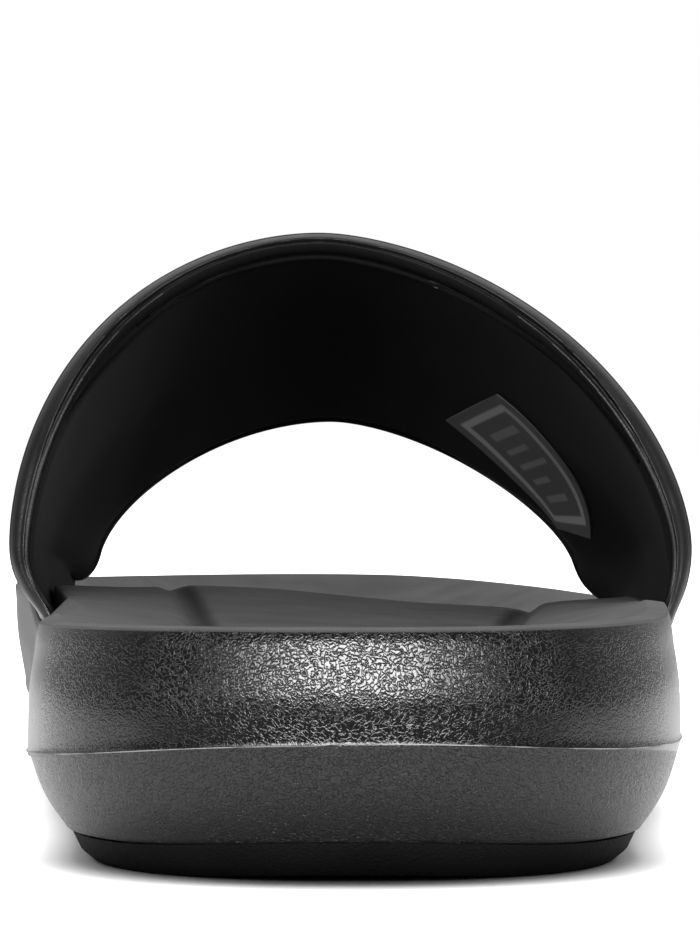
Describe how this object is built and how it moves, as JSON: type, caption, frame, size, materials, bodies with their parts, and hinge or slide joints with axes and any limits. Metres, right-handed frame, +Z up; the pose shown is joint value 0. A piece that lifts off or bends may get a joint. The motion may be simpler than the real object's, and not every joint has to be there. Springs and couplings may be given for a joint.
{
  "type": "sport slide sandal",
  "caption": "Open sport slide sandal for the right foot: moulded foam sole with a contoured footbed and one wide padded strap.",
  "frame": {"origin": "bottom centre of the sandal's box, on the floor that it stands on", "axes": "+Y towards the toe, +X towards the outer side of the foot, +Z up"},
  "size_m": [0.1042, 0.2838, 0.0825],
  "materials": {
    "charcoal_foam": "matte, pebbled",
    "black_rubber": "matte",
    "black_synthetic_leather": "satin",
    "black_edging": "satin"
  },
  "bodies": {
    "root": {"midsole": "charcoal_foam", "outsole": "black_rubber", "strap": "black_synthetic_leather", "strap_back_edge": "black_edging", "strap_front_edge": "black_edging"}
  },
  "joints": []
}
